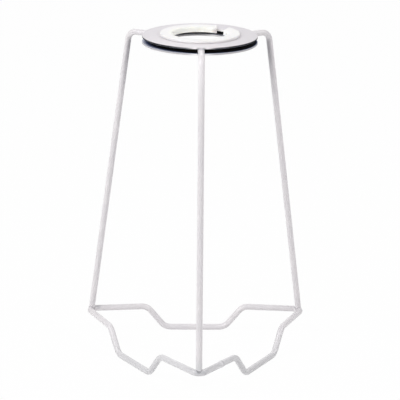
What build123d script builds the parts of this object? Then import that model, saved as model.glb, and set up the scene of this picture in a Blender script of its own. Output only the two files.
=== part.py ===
from build123d import *
import os
from math import atan2, cos, degrees, hypot, radians, sin

# Lampshade carrier of bent and welded wire, with a split reducer ring in its top hole.
# Millimetres, +Z up. The origin is on the lampholder's axis, level with the upper disc's top face.
# The front leg points to -Y, and the carrier stands on the three low runs of its base wire.

# Whole carrier
carrier_height = 178.4      # floor to the upper disc's top face
wire_diameter = 3.3         # over its coating
weld_clearance = 0.05       # left between a leg's foot and the wire it is welded to

# Two flat discs that hold the legs between them
disc_diameter = 61.0
disc_hole_diameter = 36.0
disc_thickness = 0.9
disc_gap = 2.34             # clear height between the discs
disc_edge_break = 0.15      # narrow bevel that stands for the coating's soft edge

# Legs, each with one end pressed flat to lie between the discs
leg_names = ("leg_front", "leg_right", "leg_left")
first_leg_azimuth = -90.0
leg_overhang = 12.6         # from the disc's rim out to the corner of the leg's bend
leg_bend_radius = 5.0
tongue_width = 3.5
tongue_hole_margin = 1.5    # tongue's end to the edge of the disc's hole
tongue_rim_margin = 0.15    # flat section carried on past the disc's rim
tongue_taper_length = 2.5   # over which flat turns into round
tongue_end_round = 0.6

# Base wire: three equal sides, each with two high runs and a low run between them
corner_reach = 69.8         # axis to the sharp corner under a leg, in plan
corner_bend_radius = 4.0
high_run_end_offset = 27.0  # along the side, from its middle
high_run_end_distance = 38.6
low_run_end_offset = 16.8   # along the side, from its middle
low_run_distance = 39.3     # axis to the low run, in plan
low_run_drop = 12.4
side_bend_radius = 6.5
butt_offset = 20.0          # front corner to the place where the wire's two ends are welded
butt_bead_length = 2.4
butt_bead_height = 0.22

# Split reducer ring, which narrows the discs' hole to the lampholder's
ring_bore_diameter = 29.0
ring_flange_overlap = 3.15  # flange past the edge of the disc's hole
ring_seat_width = 0.6       # flat under the flange that lies on the disc around its hole
ring_bore_height = 1.3      # flange's top at the bore, above the upper disc
ring_rim_height = 1.5       # flange's top at its rim, which stands a little higher
ring_rim_lift = 0.15        # flange's underside at its rim, off the disc
ring_collar_depth = 1.45    # below the upper disc's top face
ring_fit_clearance = 0.15
ring_lip_overhang = 0.35    # lip past the edge of the disc's hole
ring_lip_clearance = 0.05   # lip below the upper disc
ring_lip_lead = 0.3
ring_outer_round = 0.6
ring_inner_round = 0.9
ring_split_azimuth = 47.75  # middle of the split
ring_split_angle = 20.5     # seen from the axis, half way through the ring
ring_split_skew = 29.0      # each end's turn from the radial line
ring_end_round = 0.4

# Levels and radii that follow from the sizes above
wire_radius = wire_diameter / 2
disc_radius = disc_diameter / 2
hole_radius = disc_hole_diameter / 2
lower_disc_top = -(disc_thickness + disc_gap)
tongue_level = -(disc_thickness + disc_gap / 2)
leg_level = -(disc_thickness + wire_radius)
high_level = -carrier_height + wire_radius + low_run_drop
low_level = high_level - low_run_drop
half_side_angle = 180.0 / len(leg_names)
first_side_azimuth = first_leg_azimuth + half_side_angle


def side_point(distance, offset, level, side=0):
    """Point on a side of the base wire: its distance from the axis, place along the side and level."""
    azimuth = radians(first_side_azimuth + 2 * half_side_angle * side)
    x = distance * cos(azimuth) - offset * sin(azimuth)
    y = distance * sin(azimuth) + offset * cos(azimuth)
    return Vector(x, y, level)


def across_leg(azimuth, radius, level):
    """Upright plane across a leg's level run, facing outwards."""
    outwards = Vector(1, 0, 0).rotate(Axis.Z, azimuth)
    sideways = Vector(0, 1, 0).rotate(Axis.Z, azimuth)
    return Plane(origin=outwards * radius + Vector(0, 0, level), x_dir=sideways, z_dir=outwards)


def along_leg(azimuth):
    """Upright plane that holds a leg's centreline, with x outwards and y up."""
    outwards = Vector(1, 0, 0).rotate(Axis.Z, azimuth)
    return Plane(origin=(0, 0, 0), x_dir=outwards, z_dir=outwards.cross(Vector(0, 0, 1)))


# Base wire's corner: its sharp point, and the crown of its bend, where a leg stands
corner_distance = corner_reach * cos(radians(half_side_angle))
corner_offset = corner_reach * sin(radians(half_side_angle))
high_run_splay = high_run_end_distance - corner_distance
high_run_span = corner_offset - high_run_end_offset
half_corner_angle = 90.0 - half_side_angle + degrees(atan2(high_run_splay, high_run_span))
foot_reach = corner_reach - corner_bend_radius * (1 / sin(radians(half_corner_angle)) - 1)

# Centreline of a third of the base wire, from the butt line on one side to the same line on the next
butt_share = butt_offset / hypot(high_run_splay, high_run_span)
butt_line_distance = corner_distance + high_run_splay * butt_share
butt_line_offset = corner_offset - high_run_span * butt_share
third_points = [
    side_point(butt_line_distance, -butt_line_offset, high_level),
    side_point(high_run_end_distance, -high_run_end_offset, high_level),
    side_point(low_run_distance, -low_run_end_offset, low_level),
    side_point(low_run_distance, low_run_end_offset, low_level),
    side_point(high_run_end_distance, high_run_end_offset, high_level),
    side_point(corner_distance, corner_offset, high_level),
    side_point(butt_line_distance, -butt_line_offset, high_level, side=1),
]
third_radii = [side_bend_radius] * 4 + [corner_bend_radius]

os.makedirs("parts", exist_ok=True)

# Upper and lower disc
disc_tops = {"upper_disc": 0.0, "lower_disc": lower_disc_top}
for disc_name, disc_top in disc_tops.items():
    with BuildPart() as disc:
        with BuildSketch(Plane.XY.offset(disc_top)):
            Circle(disc_radius)
            Circle(hole_radius, mode=Mode.SUBTRACT)
        extrude(amount=-disc_thickness)
        chamfer(disc.edges().filter_by(GeomType.CIRCLE), length=disc_edge_break)
    disc.part.label = disc_name
    export_step(disc.part, f"parts/{disc_name}.step")

# Base wire: one third swept along its centreline and repeated about the axis
with BuildPart() as base_third:
    with BuildLine():
        third_line = FilletPolyline(third_points, radius=third_radii)
    with BuildSketch(Plane(origin=third_line @ 0, z_dir=third_line % 0)):
        Circle(wire_radius)
    sweep(path=third_line)

# Low swelling where the wire's two ends are butted and welded, on the front right side
bead_plane = Plane(origin=third_line @ 0, x_dir=third_line % 0, z_dir=(0, 0, 1))
with BuildPart() as base_wire:
    with PolarLocations(0, len(leg_names)):
        add(base_third.part)
    with BuildSketch(bead_plane):
        with BuildLine():
            bead_edge = ThreePointArc(
                (-butt_bead_length / 2, wire_radius),
                (0, wire_radius + butt_bead_height),
                (butt_bead_length / 2, wire_radius),
            )
            Polyline(bead_edge @ 1, (butt_bead_length / 2, 0), (-butt_bead_length / 2, 0), bead_edge @ 0)
        make_face()
    revolve(axis=Axis(bead_plane.origin, bead_plane.x_dir))
base_wire.part.label = "base_wire"
export_step(base_wire.part, "parts/base_wire.step")

# Line of the base wire's bend under the front leg, to cope each leg's foot to it
with BuildLine() as corner_bend:
    FilletPolyline(
        side_point(high_run_end_distance, high_run_end_offset, high_level, side=-1),
        side_point(corner_distance, corner_offset, high_level, side=-1),
        side_point(high_run_end_distance, -high_run_end_offset, high_level),
        radius=corner_bend_radius,
    )
corner_line = corner_bend.wire()

# Legs: a flat tongue between the discs, a level run, one bend and a long straight down to the base wire
tongue_root = hole_radius + tongue_hole_margin
tongue_end = disc_radius + tongue_rim_margin
round_start = tongue_end + tongue_taper_length
bend_corner = disc_radius + leg_overhang
for leg_place, leg_name in enumerate(leg_names):
    leg_turn = 2 * half_side_angle * leg_place
    azimuth = first_leg_azimuth + leg_turn
    with BuildPart() as leg:
        with BuildSketch(across_leg(azimuth, tongue_root, tongue_level)):
            SlotOverall(tongue_width, disc_gap)
        extrude(amount=tongue_end - tongue_root)
        fillet(leg.faces().sort_by_distance((0, 0, tongue_level))[0].edges(), radius=tongue_end_round)
        with BuildSketch(across_leg(azimuth, tongue_end, tongue_level)):
            SlotOverall(tongue_width, disc_gap)
        with BuildSketch(across_leg(azimuth, round_start, leg_level)):
            Circle(wire_radius)
        loft()
        with BuildLine(along_leg(azimuth)):
            leg_line = FilletPolyline(
                (round_start, leg_level),
                (bend_corner, leg_level),
                (foot_reach, high_level),
                radius=leg_bend_radius,
            )
        with BuildSketch(across_leg(azimuth, round_start, leg_level)):
            Circle(wire_radius)
        sweep(path=leg_line)
        cope_line = corner_line.rotate(Axis.Z, leg_turn)
        with BuildSketch(Plane(origin=cope_line @ 0, z_dir=cope_line % 0)):
            Circle(wire_radius + weld_clearance)
        sweep(path=cope_line, mode=Mode.SUBTRACT)
    leg.part.label = leg_name
    export_step(leg.part, f"parts/{leg_name}.step")

# Reducer ring: a flange on the upper disc, a collar through its hole and a low lip that snaps under it
ring_bore_radius = ring_bore_diameter / 2
ring_flange_radius = hole_radius + ring_flange_overlap
ring_collar_radius = hole_radius - ring_fit_clearance
ring_lip_radius = hole_radius + ring_lip_overhang
ring_lip_top = -(disc_thickness + ring_lip_clearance)
with BuildPart() as reducer_ring:
    with BuildSketch(Plane.XZ) as ring_section:
        with BuildLine():
            Polyline(
                (ring_bore_radius, -ring_collar_depth),
                (ring_lip_radius - ring_lip_lead, -ring_collar_depth),
                (ring_lip_radius, -ring_collar_depth + ring_lip_lead),
                (ring_lip_radius, ring_lip_top),
                (ring_collar_radius, ring_lip_top),
                (ring_collar_radius, 0),
                (hole_radius + ring_seat_width, 0),
                (ring_flange_radius, ring_rim_lift),
                (ring_flange_radius, ring_rim_height),
                (ring_bore_radius, ring_bore_height),
                close=True,
            )
        make_face()
        fillet(ring_section.vertices().group_by(Axis.X)[-1].sort_by(Axis.Y)[-1], radius=ring_outer_round)
        fillet(ring_section.vertices().group_by(Axis.X)[0].sort_by(Axis.Y)[-1], radius=ring_inner_round)
    revolve(axis=Axis.Z)
    # Split: all that lies between the ring's two ends, each turned from the radial line by the skew
    ring_middle = (ring_bore_radius + ring_flange_radius) / 2
    end_reach = ring_flange_radius - ring_bore_radius
    end_lines = []
    for side in (-1, 1):
        end_azimuth = ring_split_azimuth + side * ring_split_angle / 2
        end_middle = Vector(ring_middle, 0, 0).rotate(Axis.Z, end_azimuth)
        end_run = Vector(end_reach, 0, 0).rotate(Axis.Z, end_azimuth + ring_split_skew)
        end_lines.append([end_middle - end_run, end_middle + end_run])
    with BuildSketch(Plane.XY.offset(ring_rim_height)):
        Polygon(*end_lines[0], *reversed(end_lines[1]), align=None)
    extrude(amount=-(ring_rim_height + ring_collar_depth), mode=Mode.SUBTRACT)
    ring_ends = reducer_ring.faces().filter_by(GeomType.PLANE).filter_by(Axis.Z, reverse=True)
    fillet(ring_ends.edges().group_by(Axis.Z)[-1], radius=ring_end_round)
reducer_ring.part.label = "reducer_ring"
export_step(reducer_ring.part, "parts/reducer_ring.step")
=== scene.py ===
import bpy
import math
from mathutils import Matrix, Vector


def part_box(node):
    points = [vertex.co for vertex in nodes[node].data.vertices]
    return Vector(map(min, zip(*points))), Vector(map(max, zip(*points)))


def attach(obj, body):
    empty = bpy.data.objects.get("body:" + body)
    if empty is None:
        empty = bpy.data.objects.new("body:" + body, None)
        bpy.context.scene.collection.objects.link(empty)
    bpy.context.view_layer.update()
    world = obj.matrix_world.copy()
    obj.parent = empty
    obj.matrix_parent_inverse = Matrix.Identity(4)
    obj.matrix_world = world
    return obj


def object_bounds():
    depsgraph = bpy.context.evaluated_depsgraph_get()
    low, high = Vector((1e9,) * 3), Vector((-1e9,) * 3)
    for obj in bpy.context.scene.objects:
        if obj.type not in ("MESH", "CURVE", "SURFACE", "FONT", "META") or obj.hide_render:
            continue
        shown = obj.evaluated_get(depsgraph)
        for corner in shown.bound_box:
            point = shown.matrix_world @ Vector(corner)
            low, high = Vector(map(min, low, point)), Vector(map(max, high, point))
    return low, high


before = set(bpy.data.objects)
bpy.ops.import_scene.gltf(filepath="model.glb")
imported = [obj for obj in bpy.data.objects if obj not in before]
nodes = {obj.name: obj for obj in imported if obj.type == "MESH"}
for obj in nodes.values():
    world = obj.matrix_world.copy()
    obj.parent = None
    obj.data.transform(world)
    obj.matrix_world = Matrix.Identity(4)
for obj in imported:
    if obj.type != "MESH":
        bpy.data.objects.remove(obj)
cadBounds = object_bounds()
scene = bpy.context.scene
print("frame:", len(nodes), "wires, discs and ring")

millimetre = 0.001
floorLevel = cadBounds[0].z
legNames = ("leg_front", "leg_right", "leg_left")
legAzimuths = (-90.0, 30.0, 150.0)
softCore = 0.3      # share of a soft spot's reach that it covers in full
# How much finer noise is laid over the broad noise of a texture
smooth = 1.0
fine = 2.0
finest = 3.0


def span(zero, one):
    # The two ends of a mask, in millimetres: where it is 0 and where it is 1
    return (zero * millimetre, one * millimetre)


class Value:
    # One value or colour in a material. Sums written with it add the Math nodes they need.
    def __init__(self, tree, socket=None):
        self.tree = tree
        self.socket = socket

    def node(self, kind, settings=None, feeds=None, out=0):
        # Any other node: its type, its settings first, then the values or links of its sockets
        made = self.tree.nodes.new(kind)
        for name, setting in (settings or {}).items():
            setattr(made, name, setting)
        for name, feed in (feeds or {}).items():
            if isinstance(feed, Value):
                self.tree.links.new(feed.socket, made.inputs[name])
            else:
                made.inputs[name].default_value = feed
        return Value(self.tree, made.outputs[out] if made.outputs else None)

    def output(self, name):
        # Another output of the same node
        return Value(self.tree, self.socket.node.outputs[name])

    def maths(self, operation, first, second=0.0):
        return self.node("ShaderNodeMath", {"operation": operation}, {0: first, 1: second})

    def __add__(self, other):
        return self.maths("ADD", self, other)

    def __sub__(self, other):
        return self.maths("SUBTRACT", self, other)

    def __rsub__(self, other):
        return self.maths("SUBTRACT", other, self)

    def __mul__(self, other):
        return self.maths("MULTIPLY", self, other)

    def __truediv__(self, other):
        return self.maths("DIVIDE", self, other)

    def __rtruediv__(self, other):
        return self.maths("DIVIDE", other, self)

    def __pow__(self, other):
        return self.maths("POWER", self, other)

    def __rpow__(self, other):
        return self.maths("POWER", other, self)

    __radd__ = __add__
    __rmul__ = __mul__

    def size(self):
        return self.maths("ABSOLUTE", self)

    def least(self, other):
        return self.maths("MINIMUM", self, other)

    def most(self, other):
        return self.maths("MAXIMUM", self, other)

    def rise(self, zero, one):
        # 0 at one end, 1 at the other and a soft step between; zero may be the larger
        return self.node(
            "ShaderNodeMapRange",
            {"interpolation_type": "SMOOTHSTEP"},
            {"Value": self, "From Min": zero, "From Max": one, "To Min": 0.0, "To Max": 1.0},
        )


def newMaterial(name):
    material = bpy.data.materials.new(name)
    material.use_nodes = True
    tree = material.node_tree
    tree.nodes.clear()
    return material, Value(tree)


def place(start):
    # Object coordinates, and the three of them apart
    # Every piece sits at the origin, so they are metres on the object
    spot = start.node("ShaderNodeTexCoord", out="Object")
    parts = start.node("ShaderNodeSeparateXYZ", feeds={"Vector": spot})
    return spot, [parts.output(axis) for axis in "XYZ"]


def clouds(start, spot, grain, detail):
    # Soft noise whose patches are about as wide as grain, in metres
    feeds = {"Vector": spot, "Scale": 1.0 / grain, "Detail": detail}
    return start.node("ShaderNodeTexNoise", feeds=feeds, out="Fac")


def onCircle(reach, azimuth, level):
    turn = math.radians(azimuth)
    return (reach * math.cos(turn), reach * math.sin(turn), level)


def distanceTo(start, spot, middle):
    return start.node("ShaderNodeVectorMath", {"operation": "DISTANCE"}, {0: spot, 1: middle}, out="Value")


def greatest(shares):
    share, *others = shares
    for other in others:
        share = share.most(other)
    return share


def nearest(start, spot, middles, reach):
    # 1 near any of the middles, falling to 0 at reach
    return greatest([distanceTo(start, spot, middle).rise(reach, softCore * reach) for middle in middles])


def blendColours(start, share, first, second):
    feeds = {"Factor": share, 6: first, 7: second}
    return start.node("ShaderNodeMix", {"data_type": "RGBA"}, feeds, out=2)


def paint(start, colour, look, layers):
    # Lays the dictionary's colours over each other, each by its own share
    for share, name in layers:
        colour = blendColours(start, share, colour, look[name])
    return colour


def finishMaterial(start, colour, roughness, height, depth, others):
    # Puts the colour, gloss and relief on one shader, with the piece's other settings
    bump = start.node("ShaderNodeBump", feeds={"Strength": 1.0, "Distance": depth, "Height": height})
    feeds = {"Base Color": colour, "Roughness": roughness, "Normal": bump}
    feeds.update(others)
    shader = start.node("ShaderNodeBsdfPrincipled", feeds=feeds)
    start.node("ShaderNodeOutputMaterial", feeds={"Surface": shader})


# Powder coat on the wires. Left, right, front and back are as the camera sees them.
wireCoat = {
    "colour": (0.757, 0.730, 0.754, 1.0),
    "thickColour": (0.80, 0.77, 0.785, 1.0),
    "thickPatches": (0.35, 0.70),               # levels of the noise between which spots come in
    "thinColour": (0.57, 0.56, 0.60, 1.0),
    "thinSpots": (0.36, 0.52),
    "thinShare": 0.3,
    "weldSpots": (0.45, 0.75),                  # thin coat on the welds' lumps
    "weldShare": 0.35,
    "peelSize": 1.15 * millimetre,              # orange peel, from one swell to the next
    "peelDepth": 0.007 * millimetre,
    "gritSize": 0.22 * millimetre,
    "gritHeight": 0.12,                         # against the orange peel's
    "patchSize": 14 * millimetre,               # slow change of tone along the wire
    "lumpSize": 0.9 * millimetre,               # coat over the welds
    "lumpHeight": 3.0,                          # against the orange peel's
    "smearSize": 2.4 * millimetre,              # breaks up the grime and the crease
    "roughness": 0.40,
    "patchRoughness": 0.10,
    "lumpRoughness": 0.14,
    "peelGloss": 0.05,                          # the swells of the peel are a little glossier
    "gloss": {"IOR": 1.5, "Coat Weight": 0.35, "Coat Roughness": 0.18},
    "baseShadeColour": (0.712, 0.704, 0.723, 1.0),   # painted shade on the base wire's front sides, a little darker, greyer and less pink
    "baseLevels": span(-154, -161),             # heights
    "baseFront": span(5, -20),                  # from the back to the front
    "baseSideShadeColour": (0.668, 0.661, 0.679, 1.0),   # the same painted shade, darker still furthest to the left and right
    "baseSides": span(20, 34),                  # out from the middle, both ways
    "underDiscShadeColour": (0.40, 0.385, 0.415, 1.0),  # painted shade on the legs' inner sides, below the discs
    "innerSide": span(0.4125, -1.65),           # out from the leg's middle
    "belowBend": span(-4.3, -8),                # heights where it comes in under the bend
    "belowDiscs": span(-44, -8),                # heights over which it fades downwards
    "bendHighlightColour": (0.88, 0.85, 0.87, 1.0),     # painted highlight on the front leg's bend, where it faces up and to the front
    "frontLeg": span(-10, -25),                 # from the back to the front
    "frontLevels": span(-34, -5),               # heights
    "weldReach": 4.2 * millimetre,              # how far the rougher coat goes round each weld
    "footShadeColour": (0.43, 0.43, 0.47, 1.0),     # painted shade, bluish grey, on the base wire beside each foot
    "footShadeReach": 8.0 * millimetre,
    "footShadeSmears": (0.42, 0.66),
    "footShadeShare": 0.55,
    "belowLegs": span(1.65, 1.485),             # up from the base wire's centreline
    "creaseShadowColour": (0.10, 0.10, 0.12, 1.0),    # painted shadow: dark line along the crease where the leg meets the base wire
    "creaseHeight": 1.97 * millimetre,          # from the base wire's centreline
    "creaseLine": span(0.20, 0.06),             # either side of that height
    "creaseBreaks": (0.25, 0.5),
    "creaseShadowShare": 0.8,
    "dropColour": (0.96, 0.94, 0.96, 1.0),      # painted highlight of a drop of coat on the butt weld
    "dropPlace": -1.1 * millimetre,             # along the wire, from the weld's middle
    "hollowColour": (0.52, 0.50, 0.53, 1.0),    # painted shade of a hollow beside it
    "hollowPlace": 0.3 * millimetre,
    "buttBand": span(0.7, 0.28),                # either side of each one's place
    "buttReach": 3.0 * millimetre,
    "buttShare": 0.8,
}
footReach = 67.04 * millimetre         # axis to a leg's foot, on the base wire's centreline
footLevel = -164.35 * millimetre
cornerBend = 4.0 * millimetre          # the base wire's bend under a foot
legLean = math.radians(8.42)           # of a leg's long straight, from upright
buttPlace = (11.85 * millimetre, -53.68 * millimetre, footLevel)
buttTurn = math.radians(48.4)          # which way the base wire runs there
feet = [onCircle(footReach, azimuth, footLevel) for azimuth in legAzimuths]


def besideFoot(start, spot, z, azimuth):
    # Distance from the base wire's centreline in its bend under a leg, in metres
    middle = onCircle(footReach - cornerBend, azimuth, 0.0)
    flat = start.node("ShaderNodeVectorMath", {"operation": "MULTIPLY"}, {0: spot, 1: (1.0, 1.0, 0.0)})
    return ((distanceTo(start, flat, middle) - cornerBend) ** 2 + (z - footLevel) ** 2) ** 0.5


def baseLayers(x, y, z, look):
    # Painted shade on the base wire's front sides, greyer and darker
    frontBase = z.rise(*look["baseLevels"]) * y.rise(*look["baseFront"])
    atSide = x.size().rise(*look["baseSides"])
    return [(frontBase, "baseShadeColour"), (frontBase * atSide, "baseSideShadeColour")]


def bendLayers(x, y, z, look):
    # Painted shade on the legs' inner sides below the discs, painted highlight on the front leg's bend
    legLine = footReach - (z - footLevel) * math.tan(legLean)
    innerSide = ((x * x + y * y) ** 0.5 - legLine).rise(*look["innerSide"])
    underDiscShade = innerSide * z.rise(*look["belowBend"]) * z.rise(*look["belowDiscs"])
    bendHighlight = y.rise(*look["frontLeg"]) * z.rise(*look["frontLevels"])
    return [(underDiscShade, "underDiscShadeColour"), (bendHighlight * (1.0 - underDiscShade), "bendHighlightColour")]


def footLayers(start, spot, z, look):
    # Painted shade under each foot, and painted shadow along the crease of its seam
    smears = clouds(start, spot, look["smearSize"], fine)
    footShade = nearest(start, spot, feet, look["footShadeReach"]) * (z - footLevel).rise(*look["belowLegs"])
    lines = []
    for azimuth in legAzimuths:
        fromSeam = besideFoot(start, spot, z, azimuth) - look["creaseHeight"]
        lines.append(fromSeam.size().rise(*look["creaseLine"]))
    nearFeet = nearest(start, spot, feet, look["weldReach"])
    creaseShadow = greatest(lines) * nearFeet * smears.rise(*look["creaseBreaks"])
    footShadeShare = footShade * smears.rise(*look["footShadeSmears"]) * look["footShadeShare"]
    return [(footShadeShare, "footShadeColour"), (creaseShadow * look["creaseShadowShare"], "creaseShadowColour")]


def buttLayers(start, spot, x, y, look):
    # Painted highlight on the drop and painted shade in the hollow where the wire's two ends are welded
    along = (x - buttPlace[0]) * math.cos(buttTurn) + (y - buttPlace[1]) * math.sin(buttTurn)
    atButt = nearest(start, spot, [buttPlace], look["buttReach"]) * look["buttShare"]
    layers = []
    for mark in ("drop", "hollow"):
        band = (along - look[mark + "Place"]).size().rise(*look["buttBand"])
        layers.append((band * atButt, mark + "Colour"))
    return layers


def wireMaterial(name, look):
    material, start = newMaterial(name)
    spot, (x, y, z) = place(start)
    peel = clouds(start, spot, look["peelSize"], smooth)
    grit = clouds(start, spot, look["gritSize"], fine)
    patches = clouds(start, spot, look["patchSize"], fine)
    lumps = clouds(start, spot, look["lumpSize"], finest)
    weld = nearest(start, spot, feet + [buttPlace], look["weldReach"])
    colour = blendColours(start, patches.rise(*look["thickPatches"]), look["colour"], look["thickColour"])
    layers = baseLayers(x, y, z, look)
    layers.append(((grit * patches).rise(*look["thinSpots"]) * look["thinShare"], "thinColour"))
    layers.append((weld * lumps.rise(*look["weldSpots"]) * look["weldShare"], "thinColour"))
    layers += bendLayers(x, y, z, look)
    layers += footLayers(start, spot, z, look)
    layers += buttLayers(start, spot, x, y, look)
    colour = paint(start, colour, look, layers)
    rougher = look["patchRoughness"] * patches + look["lumpRoughness"] * weld * lumps
    roughness = look["roughness"] + rougher - look["peelGloss"] * peel
    height = peel + look["gritHeight"] * grit + look["lumpHeight"] * weld * lumps
    finishMaterial(start, colour, roughness, height, look["peelDepth"], look["gloss"])
    return material


# Coat on the two discs. Powder hardly reaches the narrow gap between them, so their steel is bare and rough
# there, painted near black as shade.
discCoat = {
    "colour": (0.838, 0.802, 0.835, 1.0),
    "warmColour": (0.850, 0.807, 0.828, 1.0),
    "warmPatches": (0.35, 0.7),                 # levels of the noise between which it comes in
    "backShadeColour": (0.744, 0.713, 0.748, 1.0),   # painted shade: the disc is darker towards the back
    "backShadeShare": 0.85,
    "frontToBack": span(-25, 2),
    "rightShadeColour": (0.712, 0.684, 0.716, 1.0),  # and more painted shade, most of all on the right
    "rightShadeShare": 0.8,
    "middleToRight": span(2, 28),
    "peelSize": 1.5 * millimetre,
    "peelDepth": 0.007 * millimetre,
    "gritSize": 0.25 * millimetre,
    "gritHeight": 0.12,                         # against the orange peel's
    "specks": (0.62, 0.78),                     # dark ones, where the grit is highest
    "speckShare": 0.12,
    "patchSize": 22 * millimetre,
    "roughness": 0.44,
    "patchRoughness": 0.08,
    "peelGloss": 0.04,
    "bareRoughness": 0.95,
    "bareFlatness": 0.6,                        # bare steel has less relief
    "gloss": {"IOR": 1.5, "Specular IOR Level": 0.12, "Coat Roughness": 0.25},
    "coatGloss": 0.18,
    "thinEdgeAndShadeColour": (0.66, 0.65, 0.67, 1.0),     # coat drawn thin over the sharp edge, with painted shade there
    "bevelShare": 0.7,
    "edgeHighlightColour": (0.95, 0.94, 0.94, 1.0),      # painted highlight on the rim round the legs and on the hole's wall
    "highlightReach": 9 * millimetre,
    # metallic share that gives the painted highlight its sheen
    "highlightShine": 0.7,
    "legLevel": -1.5 * millimetre,              # middle of a leg's flat end
    "behindLegReach": 2.32 * millimetre,        # the rim that a leg's end hides
    "cornerReach": 3.625 * millimetre,          # painted shade in the corners on both sides of a leg
    "cornerShare": 0.8,
    "speckAndShadeColour": (0.12, 0.12, 0.135, 1.0),   # painted shade on the rim next to the gap, in the legs' corners and on the lower hole's wall; also the colour of the dark specks
    "bareShadeColour": (0.006, 0.006, 0.008, 1.0),   # the same painted shade, near black, furthest from the legs, where the rim is also left bare
    "bareReach": 19 * millimetre,               # from a leg's end
    # painted shade in the gap, near black, over its bare steel
    "gapShadeColour": (0.004, 0.004, 0.005, 1.0),
    "hazeAndLightColour": (0.045, 0.065, 0.150, 1.0),   # last of the powder, bluish, with painted light reaching in from the rim over the dark gap
    "hazedAndLit": span(3.0, 1.05),                   # in from the rim
    "sprayAndLightColour": (0.60, 0.62, 0.72, 1.0),     # thin coat just inside the gap, and painted light there
    "sprayedAndLit": span(1.5, 0.225),
    "lightLean": 0.68,                          # the painted light reaches further in on the left, where the light comes from
    "sprayLeast": 0.6,                          # and reached in unevenly
    "sprayPatches": 0.8,
    "holeSprayedAndLit": span(2.4, 0.72),             # out from the lower disc's hole
    "holeLightLeast": 0.8,                      # share of it away from the ring's split
    "splitLightColour": (0.84, 0.86, 1.0, 1.0),      # painted light that falls through the ring's split
    "splitAzimuth": 52.0,
    "splitReach": 10 * millimetre,
    "splitWiden": 1.3,                          # how much further in it reached there
    "splitBrighten": 0.8,                       # share of the hole wall's painted shade taken off there
    "rimWall": span(0.14, 0.10),                # in from the rim
    "rimBevel": span(0.20, 0.14),
    "holeWall": span(0.19, 0.13),               # out from the hole
    "inGap": span(0.12, 0.04),                  # out from the gap, through the disc's thickness
    "rimShade": span(0.80, 0.45),
    "bareShadedRim": span(0.90, 0.55),
}
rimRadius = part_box("upper_disc")[1].x
holeRadius = 18 * millimetre
discFaces = {
    "upper_disc": {
        "gapLevel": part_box("upper_disc")[0].z,
        "outwards": 1.0,        # up, away from the gap
        "rimShade": 1.0,
        "bareShadedRim": 1.0,
        "holeShade": 0.0,
        "holeSprayAndLight": 0.0,
    },
    "lower_disc": {
        "gapLevel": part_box("lower_disc")[1].z,
        "outwards": -1.0,       # down, away from it
        "rimShade": 0.35,
        "bareShadedRim": 0.0,
        "holeShade": 0.75,
        "holeSprayAndLight": 1.0,
    },
}


def rimLayers(start, spot, depth, rimWall, holeWall, nearSplit, look, face):
    # Painted highlight round the legs and on the hole's wall, painted shade in the legs' corners, elsewhere
    # on the rim and on the lower hole's wall, and the mask of the rim's bare, shaded part
    legEnds = [onCircle(rimRadius, azimuth, look["legLevel"]) for azimuth in legAzimuths]
    nearLeg = nearest(start, spot, legEnds, look["highlightReach"])
    behindLeg = nearest(start, spot, legEnds, look["behindLegReach"])
    corners = nearest(start, spot, legEnds, look["cornerReach"]) * (1.0 - behindLeg)
    farFromLegs = 1.0 - nearest(start, spot, legEnds, look["bareReach"])
    edgeHighlight = rimWall * nearLeg * (1.0 - behindLeg)
    rimShade = rimWall * depth.rise(*look["rimShade"]) * (1.0 - nearLeg) * face["rimShade"]
    holeShade = holeWall * face["holeShade"] * (1.0 - look["splitBrighten"] * nearSplit)
    # Painted shade, near black, on the upper rim's lower part away from the legs, which is also bare and
    # rough
    bareShadedRim = rimWall * depth.rise(*look["bareShadedRim"]) * farFromLegs * face["bareShadedRim"]
    layers = [
        (edgeHighlight.most(holeWall), "edgeHighlightColour"),
        (rimWall * corners * look["cornerShare"], "speckAndShadeColour"),
        (rimShade.most(holeShade), "speckAndShadeColour"),
        (bareShadedRim, "bareShadeColour"),
    ]
    return layers, edgeHighlight, bareShadedRim


def gapLayers(inwards, fromHole, x, patches, nearSplit, look, face):
    # Painted light near the gap's open edges, at the rim and the hole, over powder that drifted in
    leaning = 1.0 - x * (look["lightLean"] / rimRadius)
    uneven = leaning * (look["sprayLeast"] + look["sprayPatches"] * patches)
    hazedAndLit = (inwards / uneven).rise(*look["hazedAndLit"])
    sprayedAndLit = (inwards / uneven).rise(*look["sprayedAndLit"])
    widened = fromHole / (1.0 + look["splitWiden"] * nearSplit)
    atSplit = look["holeLightLeast"] + (1.0 - look["holeLightLeast"]) * nearSplit
    holeSprayAndLight = widened.rise(*look["holeSprayedAndLit"]) * atSplit * face["holeSprayAndLight"]
    layers = [
        (hazedAndLit, "hazeAndLightColour"),
        (sprayedAndLit.most(holeSprayAndLight), "sprayAndLightColour"),
        (holeSprayAndLight * nearSplit, "splitLightColour"),
    ]
    return layers, sprayedAndLit


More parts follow.
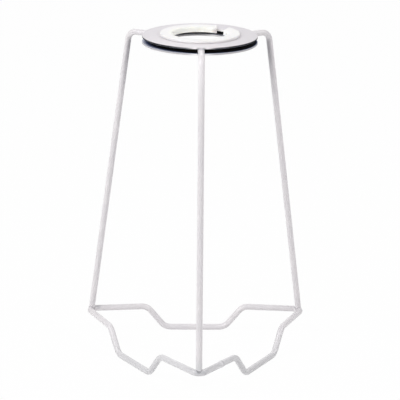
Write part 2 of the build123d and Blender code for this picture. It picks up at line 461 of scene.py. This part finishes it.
def discMaterial(name, look, face):
    material, start = newMaterial(name)
    spot, (x, y, z) = place(start)
    radius = (x * x + y * y) ** 0.5
    inwards = rimRadius - radius
    fromHole = radius - holeRadius
    depth = (z - face["gapLevel"]) * face["outwards"]    # 0 in the gap, the disc's thickness outside
    rimWall = inwards.rise(*look["rimWall"])
    rimBevel = inwards.rise(*look["rimBevel"])
    holeWall = fromHole.rise(*look["holeWall"])
    inGap = depth.rise(*look["inGap"]) * (1.0 - holeWall)
    split = onCircle(holeRadius, look["splitAzimuth"], face["gapLevel"])
    nearSplit = nearest(start, spot, [split], look["splitReach"])
    peel = clouds(start, spot, look["peelSize"], smooth)
    grit = clouds(start, spot, look["gritSize"], fine)
    patches = clouds(start, spot, look["patchSize"], fine)
    coated = blendColours(start, patches.rise(*look["warmPatches"]), look["colour"], look["warmColour"])
    rim, edgeHighlight, bareShadedRim = rimLayers(start, spot, depth, rimWall, holeWall, nearSplit, look, face)
    layers = [
        (y.rise(*look["frontToBack"]) * look["backShadeShare"], "backShadeColour"),
        (x.rise(*look["middleToRight"]) * look["rightShadeShare"], "rightShadeColour"),
        (grit.rise(*look["specks"]) * look["speckShare"], "speckAndShadeColour"),
        (rimBevel * look["bevelShare"], "thinEdgeAndShadeColour"),
    ]
    coated = paint(start, coated, look, layers + rim)
    driftAndLight, sprayedAndLit = gapLayers(inwards, fromHole, x, patches, nearSplit, look, face)
    gapShade = paint(start, look["gapShadeColour"], look, driftAndLight)
    colour = blendColours(start, inGap, coated, gapShade)
    bare = (inGap * (1.0 - sprayedAndLit)).most(bareShadedRim)
    coatRoughness = look["roughness"] + look["patchRoughness"] * patches - look["peelGloss"] * peel
    roughness = coatRoughness * (1.0 - bare) + look["bareRoughness"] * bare
    height = (peel + look["gritHeight"] * grit) * (1.0 - look["bareFlatness"] * bare)
    others = dict(look["gloss"])
    others["Coat Weight"] = look["coatGloss"] * (1.0 - inGap.most(bareShadedRim))
    others["Metallic"] = look["highlightShine"] * edgeHighlight
    finishMaterial(start, colour, roughness, height, look["peelDepth"], others)
    return material


# Moulded plastic of the reducer ring
ringPlastic = {
    "colour": (0.955, 0.925, 0.915, 1.0),
    # painted light: the bore's wall lighter and whiter than the rest
    "boreLightColour": (1.0, 0.995, 0.975, 1.0),
    "boreWall": span(1.3, 0.5),                 # out from the bore
    "shineThroughColour": (0.985, 0.97, 0.86, 1.0),   # painted light: yellowish, as light shining through the plastic, on one side of the bore
    "shineThroughShare": 0.8,
    "shineThroughLeast": 0.1,                         # share of it on the other side
    "shineThroughSteady": 0.5,                        # the rest comes in patches
    "nearBore": span(3.4, 0.2),
    "backLeft": span(-4, 14),
    "endShadeColour": (0.62, 0.58, 0.585, 1.0),      # painted shade on the end face at the split's left end
    "endAzimuth": 53.5,
    "endOut": 0.6 * millimetre,                 # from the bore
    "endLevel": -0.4 * millimetre,
    "endReach": 3.0 * millimetre,
    "endShadeShare": 0.9,
    "grainSize": 0.5 * millimetre,
    "grainDepth": 0.006 * millimetre,
    "flowSize": 3.5 * millimetre,               # swells left by the moulding
    "flowHeight": 1.5,                          # against the grain's
    "patchSize": 9 * millimetre,
    "roughness": 0.36,
    "patchRoughness": 0.10,
    "grainRoughness": 0.05,
    "gloss": {
        "IOR": 1.47,
        "Subsurface Weight": 0.5,
        "Subsurface Radius": (1.0, 0.95, 0.85),
        "Subsurface Scale": 2.5 * millimetre,
        "Coat Weight": 0.4,
        "Coat Roughness": 0.2,
    },
}
boreRadius = 14.5 * millimetre


def ringMaterial(name, look):
    material, start = newMaterial(name)
    spot, (x, y, _) = place(start)
    fromBore = (x * x + y * y) ** 0.5 - boreRadius
    grain = clouds(start, spot, look["grainSize"], fine)
    patches = clouds(start, spot, look["patchSize"], fine)
    flow = clouds(start, spot, look["flowSize"], smooth)
    backLeft = look["shineThroughLeast"] + (1.0 - look["shineThroughLeast"]) * (y - x).rise(*look["backLeft"])
    shineThrough = fromBore.rise(*look["nearBore"]) * backLeft * (look["shineThroughSteady"] + patches)
    endPlace = onCircle(boreRadius + look["endOut"], look["endAzimuth"], look["endLevel"])
    layers = [
        (shineThrough.least(1.0) * look["shineThroughShare"], "shineThroughColour"),
        (nearest(start, spot, [endPlace], look["endReach"]) * look["endShadeShare"], "endShadeColour"),
    ]
    colour = blendColours(start, fromBore.rise(*look["boreWall"]), look["colour"], look["boreLightColour"])
    colour = paint(start, colour, look, layers)
    roughness = look["roughness"] + look["patchRoughness"] * patches + look["grainRoughness"] * grain
    height = grain + look["flowHeight"] * flow
    finishMaterial(start, colour, roughness, height, look["grainDepth"], look["gloss"])
    return material


wireFinish = wireMaterial("wirePowderCoat", wireCoat)
finishes = {name: wireFinish for name in legNames + ("base_wire",)}
finishes["reducer_ring"] = ringMaterial("ringPlastic", ringPlastic)
for name, face in discFaces.items():
    finishes[name] = discMaterial(name + "_coat", discCoat, face)
for name, finish in finishes.items():
    node = nodes[name]
    if not node.material_slots:
        node.data.materials.append(finish)
    for slot in node.material_slots:
        slot.material = finish
print("materials: coat, bare steel and plastic")

# Bead of weld round the seam between each leg's foot and the base wire
weldBead = {
    "seamRadius": 1.60 * millimetre,     # round the leg's own axis
    "points": 72,
    "startHeight": 4.0 * millimetre,     # above the foot, before the ring of points drops on to the wire
    "beadRadius": 0.27 * millimetre,
    "beadSides": 12,                     # of its section
    "lumpSize": 0.9 * millimetre,
    "lumpHeight": 0.12 * millimetre,
    "mergeReach": 0.001 * millimetre,
}


def makeSeam(name, look):
    # Ring of points round the front leg, dropped along it on to the base wire
    height = look["startHeight"]
    above = (0.0, height * math.sin(legLean) - footReach, footLevel + height * math.cos(legLean))
    bpy.ops.object.select_all(action="DESELECT")
    bpy.ops.mesh.primitive_circle_add(
        vertices=look["points"], radius=look["seamRadius"], location=above, rotation=(-legLean, 0.0, 0.0)
    )
    seam = bpy.context.object
    seam.name = name
    drop = seam.modifiers.new("dropOnWire", "SHRINKWRAP")
    drop.target = nodes["base_wire"]
    drop.wrap_method = "PROJECT"
    drop.use_project_z = True
    drop.use_positive_direction = False
    drop.use_negative_direction = True
    bpy.ops.object.modifier_apply(modifier=drop.name)
    bpy.ops.object.transform_apply(location=True, rotation=True, scale=True)


def makeWeldBead(name, look):
    makeSeam(name, look)
    bpy.ops.object.convert(target="CURVE")
    seam = bpy.context.object.data
    seam.bevel_depth = look["beadRadius"]
    seam.bevel_resolution = look["beadSides"] // 2 - 2
    bpy.ops.object.convert(target="MESH")
    bead = bpy.context.object
    lumps = bpy.data.textures.new("weldLumps", "CLOUDS")
    lumps.noise_scale = look["lumpSize"]
    swell = bead.modifiers.new("swell", "DISPLACE")
    swell.texture = lumps
    swell.texture_coords = "LOCAL"
    swell.mid_level = 0.5
    swell.strength = look["lumpHeight"]
    bpy.ops.object.modifier_apply(modifier=swell.name)
    bpy.ops.object.mode_set(mode="EDIT")
    bpy.ops.mesh.select_all(action="SELECT")
    bpy.ops.mesh.remove_doubles(threshold=look["mergeReach"])
    bpy.ops.mesh.normals_make_consistent(inside=False)
    bpy.ops.object.mode_set(mode="OBJECT")
    bpy.ops.object.shade_smooth()
    bead.data.materials.clear()
    bead.data.materials.append(wireFinish)
    return bead


def repeatRound(piece, name, turns):
    # One more of a piece, turned about the object's axis, with its own mesh
    bpy.ops.object.select_all(action="DESELECT")
    piece.select_set(True)
    bpy.context.view_layer.objects.active = piece
    bpy.ops.object.duplicate(linked=False)
    copy = bpy.context.object
    copy.name = name
    bpy.ops.transform.rotate(value=turns * 2.0 * math.pi, orient_axis="Z", center_override=(0.0, 0.0, 0.0))
    bpy.ops.object.transform_apply(location=True, rotation=True, scale=True)
    return copy


frontWeld = makeWeldBead("weld_front", weldBead)
welds = [frontWeld]
for turns, name in ((1 / 3, "weld_second"), (2 / 3, "weld_third")):
    welds.append(repeatRound(frontWeld, name, turns))
for weld in welds:
    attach(weld, "root")
    print("weld:", weld.name, len(weld.data.polygons), "faces")

# Pale floor and white surroundings
white = (1.0, 1.0, 1.0, 1.0)
studio = {
    "floorSize": 8.0,
    "floorColour": (0.94, 0.94, 0.94, 1.0),
    "fibreColour": (0.80, 0.80, 0.80, 1.0),
    "fibreSize": 2 * millimetre,
    "fibreShare": 0.05,
    "floorGlow": 0.97,       # share of plain white that the camera and reflections see on the floor
    "skyLight": 0.28,
}


def seenDirectly(start):
    # 1 for camera, glossy and transmission rays
    camera = start.node("ShaderNodeLightPath", out="Is Camera Ray")
    return camera.most(camera.output("Is Glossy Ray")).most(camera.output("Is Transmission Ray"))


def makeFloor(look):
    bpy.ops.object.select_all(action="DESELECT")
    bpy.ops.mesh.primitive_plane_add(size=look["floorSize"], location=(0.0, 0.0, floorLevel))
    floor = bpy.context.object
    floor.name = "studioFloor"
    bpy.ops.object.transform_apply(location=True, rotation=True, scale=True)
    material, start = newMaterial("floorPaper")
    spot, _ = place(start)
    fibre = clouds(start, spot, look["fibreSize"], finest) * look["fibreShare"]
    paper = blendColours(start, fibre, look["floorColour"], look["fibreColour"])
    plain = start.node("ShaderNodeBsdfDiffuse", feeds={"Color": paper})
    glow = start.node("ShaderNodeEmission", feeds={"Color": white, "Strength": 1.0})
    share = seenDirectly(start) * look["floorGlow"]
    mixed = start.node("ShaderNodeMixShader", feeds={0: share, 1: plain, 2: glow})
    start.node("ShaderNodeOutputMaterial", feeds={"Surface": mixed})
    floor.data.materials.append(material)


def makeSurroundings(look):
    world = bpy.data.worlds.new("studioWhite")
    scene.world = world
    world.use_nodes = True
    world.node_tree.nodes.clear()
    start = Value(world.node_tree)
    strength = look["skyLight"] + seenDirectly(start) * (1.0 - look["skyLight"])
    sky = start.node("ShaderNodeBackground", feeds={"Color": white, "Strength": strength})
    start.node("ShaderNodeOutputWorld", feeds={"Surface": sky})


# Soft square lamps, each aimed at the middle of the carrier
lamps = {
    "keyLamp": {"place": (-1.20, -0.55, 1.00), "size": 0.9, "power": 12.5},
    "rightLamp": {"place": (1.20, -0.40, 1.00), "size": 0.9, "power": 9.6},
    "frontLamp": {"place": (-0.80, -1.10, 0.60), "size": 0.9, "power": 4.8},
    "backLamp": {"place": (0.00, 1.25, 0.95), "size": 0.9, "power": 3.2},
}


def makeLamp(name, look):
    light = bpy.data.lights.new(name, "AREA")
    light.shape = "SQUARE"
    light.size = look["size"]
    light.energy = look["power"]
    lamp = bpy.data.objects.new(name, light)
    scene.collection.objects.link(lamp)
    lamp.location = look["place"]
    aim = Vector((0.0, 0.0, 0.5 * floorLevel)) - lamp.location
    lamp.rotation_euler = aim.to_track_quat("-Z", "Y").to_euler()


makeFloor(studio)
makeSurroundings(studio)
for name, look in lamps.items():
    makeLamp(name, look)
print("studio: floor, surroundings and lamps")

# Camera at the photograph's angle: slightly above, almost square to the front leg
view = {
    "turn": 1.474,           # degrees round the object
    "tilt": 16.390,          # degrees down
    "roll": 0.711,
    "distance": 1.2111,
    "aim": (0.00112, 0.0, -0.09048),
    "lensPixels": 2251.1,    # focal length, for a picture 400 pixels wide
    "pictureWidth": 400,
    "sensorWidth": 36.0,
    "clipStart": 0.01,
    "clipEnd": 100.0,
}


def makeCamera(look):
    lens = bpy.data.cameras.new("photoCamera")
    lens.sensor_width = look["sensorWidth"]
    lens.lens = look["lensPixels"] * look["sensorWidth"] / look["pictureWidth"]
    lens.clip_start = look["clipStart"]
    lens.clip_end = look["clipEnd"]
    camera = bpy.data.objects.new("photoCamera", lens)
    scene.collection.objects.link(camera)
    tilt = math.radians(look["tilt"])
    turn = Matrix.Rotation(-math.radians(look["turn"]), 4, "Z")
    back = Vector((0.0, -math.cos(tilt), math.sin(tilt)))
    spot = Matrix.Translation(Vector(look["aim"]) + look["distance"] * back)
    upright = Matrix.Rotation(math.radians(90.0) - tilt, 4, "X")
    roll = Matrix.Rotation(math.radians(look["roll"]), 4, "Z")
    camera.matrix_world = turn @ spot @ upright @ roll
    scene.camera = camera


makeCamera(view)
scene.view_settings.view_transform = "Standard"
print("camera: at the photograph's angle")
